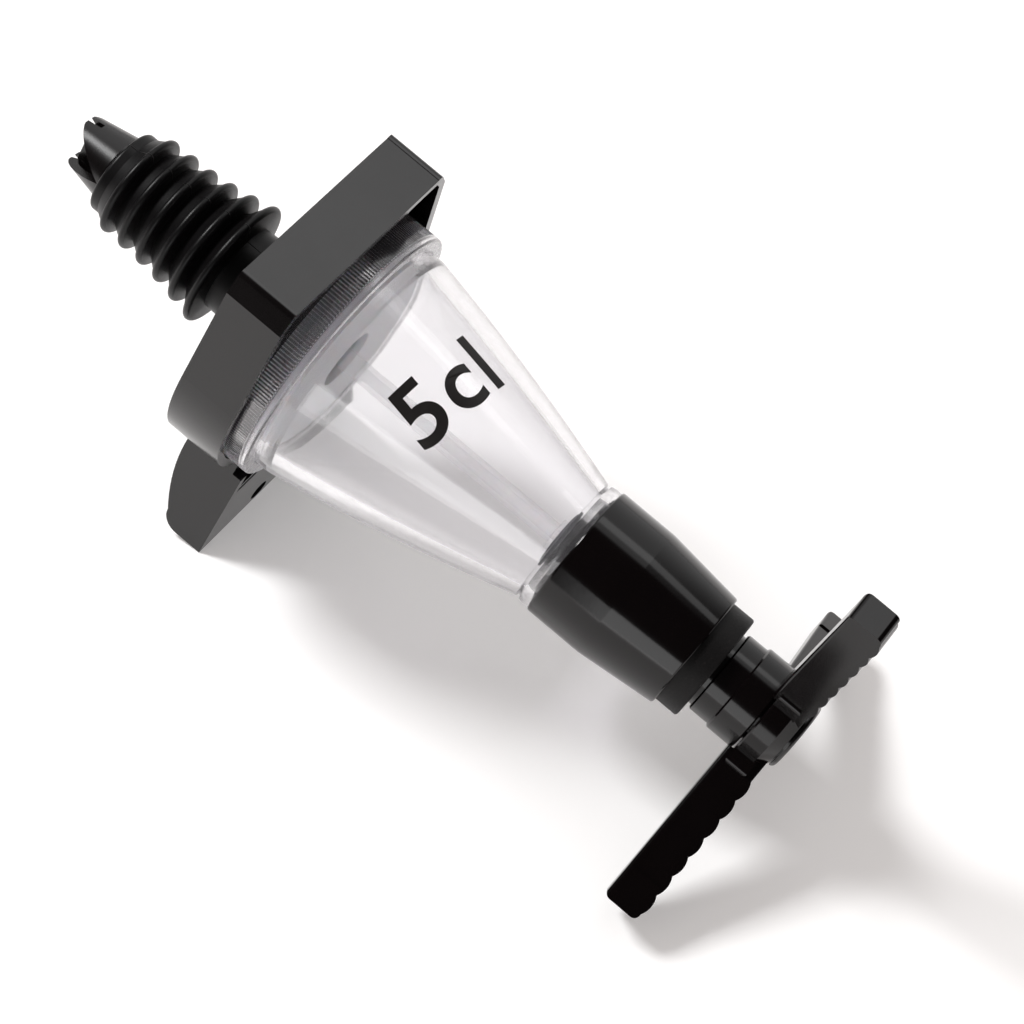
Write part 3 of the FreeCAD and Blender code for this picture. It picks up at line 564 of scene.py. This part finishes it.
class MEASURE_OT_stage(bpy.types.Operator):
    """Set the camera, the floor and the lamps"""

    bl_idname = "measure.stage"
    bl_label = "Stage"

    def execute(self, context):
        stage = context.scene.measure_stage
        self.set_camera(context, stage)
        self.lay_floor(context, stage)
        self.light_room(context, stage)
        self.hang_lamps(context, stage)
        context.scene.view_settings.view_transform = "Standard"
        return {"FINISHED"}

    def set_camera(self, context, stage):
        """Camera at the photograph's angle."""
        turn = math.radians(stage.azimuth)
        side = Vector((math.cos(turn), math.sin(turn), 0.0))
        eye = Vector((math.sin(turn) * stage.distance, -math.cos(turn) * stage.distance, stage.eye_height))
        aim = side * stage.aim_side + Vector((0.0, 0.0, stage.aim_height))
        forward = (aim - eye).normalized()
        right = forward.cross(Vector((0.0, 0.0, 1.0))).normalized()
        up = right.cross(forward)
        roll = math.radians(stage.roll)
        right, up = right * math.cos(roll) + up * math.sin(roll), up * math.cos(roll) - right * math.sin(roll)
        deselect()
        bpy.ops.object.camera_add()
        camera = context.object
        camera.name = "stage_camera"
        camera.data.lens = stage.lens
        camera.data.sensor_width = SENSOR
        camera.data.clip_start = CLIP_NEAR
        camera.data.clip_end = CLIP_FAR
        pose = Matrix((right, up, -forward)).transposed().to_4x4()
        pose.translation = eye * MM
        camera.matrix_world = pose
        context.scene.camera = camera

    def lay_floor(self, context, stage):
        """Plain floor behind the measure, under its bracket and star, seen only from its own side."""
        bracket_low, bracket_high = part_box("collar_housing")
        star_low, star_high = part_box("actuator_star")
        back = Vector((0.0, bracket_high.y, bracket_low.z))
        tip = Vector((0.0, star_high.y + STAR_REAR_GAP, star_low.z))
        aside = Vector((1.0, 0.0, 0.0))
        normal = aside.cross(back - tip).normalized()
        deselect()
        bpy.ops.mesh.primitive_plane_add(size=FLOOR_SIZE)
        floor = context.object
        floor.name = "stage_floor"
        tilt = Matrix((aside, normal.cross(aside), normal)).transposed()
        floor.data.transform(tilt.to_4x4())
        floor.data.transform(Matrix.Translation(back * MM))
        r = Recipe("stage_floor")
        paper = r.node("ShaderNodeBsdfDiffuse", inputs={"Color": solid(stage.floor)})
        glow = r.node("ShaderNodeEmission", inputs={"Color": WHITE, "Strength": stage.floor_glow})
        lit = r.node("ShaderNodeAddShader", inputs={0: paper, 1: glow})
        behind = r.node("ShaderNodeNewGeometry", output="Backfacing")
        floor.data.materials.append(r.finish(r.mix(behind, lit, r.node("ShaderNodeBsdfTransparent"))))

    def light_room(self, context, stage):
        """A room white to the camera, grey through clear plastic, and dim with a bright side in reflections.

        Dull surfaces get its soft light, whose colour is set apart.
        """
        r = Recipe("stage_room", bpy.data.worlds)
        aside, ahead, height = r.parts(r.node("ShaderNodeTexCoord", output="Generated"))
        turn = r.joined("ARCTAN2", aside, ahead * -1.0) * (1.0 / math.pi)
        panel = r.ramp(turn, PANEL_TURN) * r.ramp(height * 0.5 + 0.5, PANEL_HEIGHT)
        shown = {"Is Glossy Ray": panel * stage.room_panel + stage.room_mirror,
                 "Is Transmission Ray": solid([stage.room_through] * 3),
                 "Is Camera Ray": WHITE}
        room = r.node("ShaderNodeBackground", inputs={"Color": solid(stage.room_soft)})
        for kind, colour in shown.items():
            room = r.mix(r.ray(kind), room, r.node("ShaderNodeBackground", inputs={"Color": colour}))
        context.scene.world = r.finish(room, "ShaderNodeOutputWorld")

    def hang_lamps(self, context, stage):
        """A key lamp over the camera, toward the bung, a soft box on the left and a strip on the right."""
        for name, lamp in LAMPS.items():
            direction = Vector(lamp["toward"]).normalized()
            deselect()
            bpy.ops.object.light_add(type="AREA")
            light = context.object
            light.name = "stage_" + name
            light.data.shape = "RECTANGLE"
            light.data.size = lamp["wide"] * MM
            light.data.size_y = lamp["tall"] * MM
            light.data.energy = lamp["watts"] * stage.lamp_power
            light.location = (Vector(LAMPS_AIM) + direction * lamp["away"]) * MM
            light.rotation_mode = "QUATERNION"
            light.rotation_quaternion = direction.to_track_quat("Z", "Y")


class MEASURE_PT_panel(bpy.types.Panel):
    """Buttons for every group of pieces"""

    bl_label = "Spirit measure"
    bl_idname = "MEASURE_PT_panel"
    bl_space_type = "VIEW_3D"
    bl_region_type = "UI"
    bl_category = "Measure"

    def draw(self, context):
        for operator in OPERATORS:
            self.layout.operator(operator.bl_idname)
        for group in (context.scene.measure_colours, context.scene.measure_mark, context.scene.measure_stage):
            for name in group.bl_rna.properties.keys():
                if name not in ("rna_type", "name"):
                    self.layout.prop(group, name)


OPERATORS = (MEASURE_OT_body, MEASURE_OT_clear, MEASURE_OT_inside, MEASURE_OT_mark, MEASURE_OT_stage)
GROUPS = {"measure_colours": MeasureColours, "measure_mark": MeasureMark, "measure_stage": MeasureStage}


def register():
    """Add the settings, the operators and the panel."""
    for name, group in GROUPS.items():
        bpy.utils.register_class(group)
        setattr(bpy.types.Scene, name, bpy.props.PointerProperty(type=group))
    for made in OPERATORS + (MEASURE_PT_panel,):
        bpy.utils.register_class(made)


def unregister():
    """Take them away again."""
    for made in (MEASURE_PT_panel,) + OPERATORS[::-1]:
        bpy.utils.unregister_class(made)
    for name, group in GROUPS.items():
        delattr(bpy.types.Scene, name)
        bpy.utils.unregister_class(group)


def main():
    """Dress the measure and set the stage."""
    register()
    bpy.ops.measure.body()
    bpy.ops.measure.clear()
    bpy.ops.measure.inside()
    bpy.ops.measure.mark()
    bpy.ops.measure.stage()


if __name__ == "__main__":
    main()
